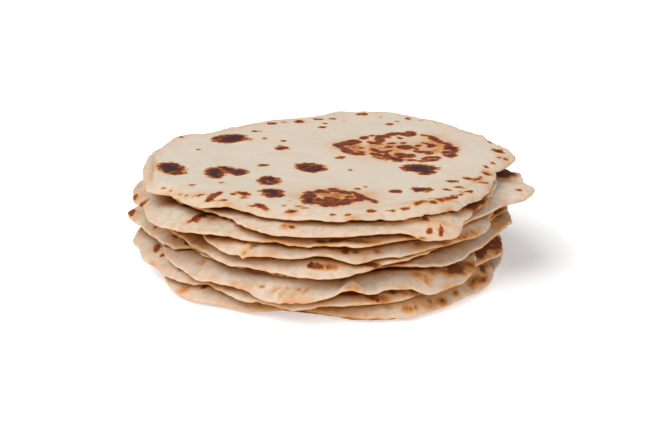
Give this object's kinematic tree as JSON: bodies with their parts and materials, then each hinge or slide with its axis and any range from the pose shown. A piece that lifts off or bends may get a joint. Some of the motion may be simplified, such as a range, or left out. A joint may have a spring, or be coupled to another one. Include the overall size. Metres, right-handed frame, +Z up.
{
  "type": "stack of flour tortillas",
  "caption": "Loose stack of home-made flour tortillas with uneven drooping rims and charred spots, for a plate, board or table.",
  "frame": {"origin": "middle of the stack's whole outline seen from above, on the surface that it lies on", "axes": "+Z up, from the lowest tortilla to the top one; -Y towards the viewer of the picture; +X to the viewer's right"},
  "size_m": [0.2492, 0.2342, 0.0656],
  "materials": {
    "baked_dough": "dull cream baked dough dusted with flour, with tan, brown and purple-black charred spots"
  },
  "bodies": {
    "root": {"tortilla_01": "baked_dough", "tortilla_02": "baked_dough", "tortilla_03": "baked_dough", "tortilla_04": "baked_dough", "tortilla_05": "baked_dough", "tortilla_06": "baked_dough", "tortilla_07": "baked_dough", "tortilla_08": "baked_dough", "tortilla_09": "baked_dough", "tortilla_10": "baked_dough"}
  },
  "joints": []
}
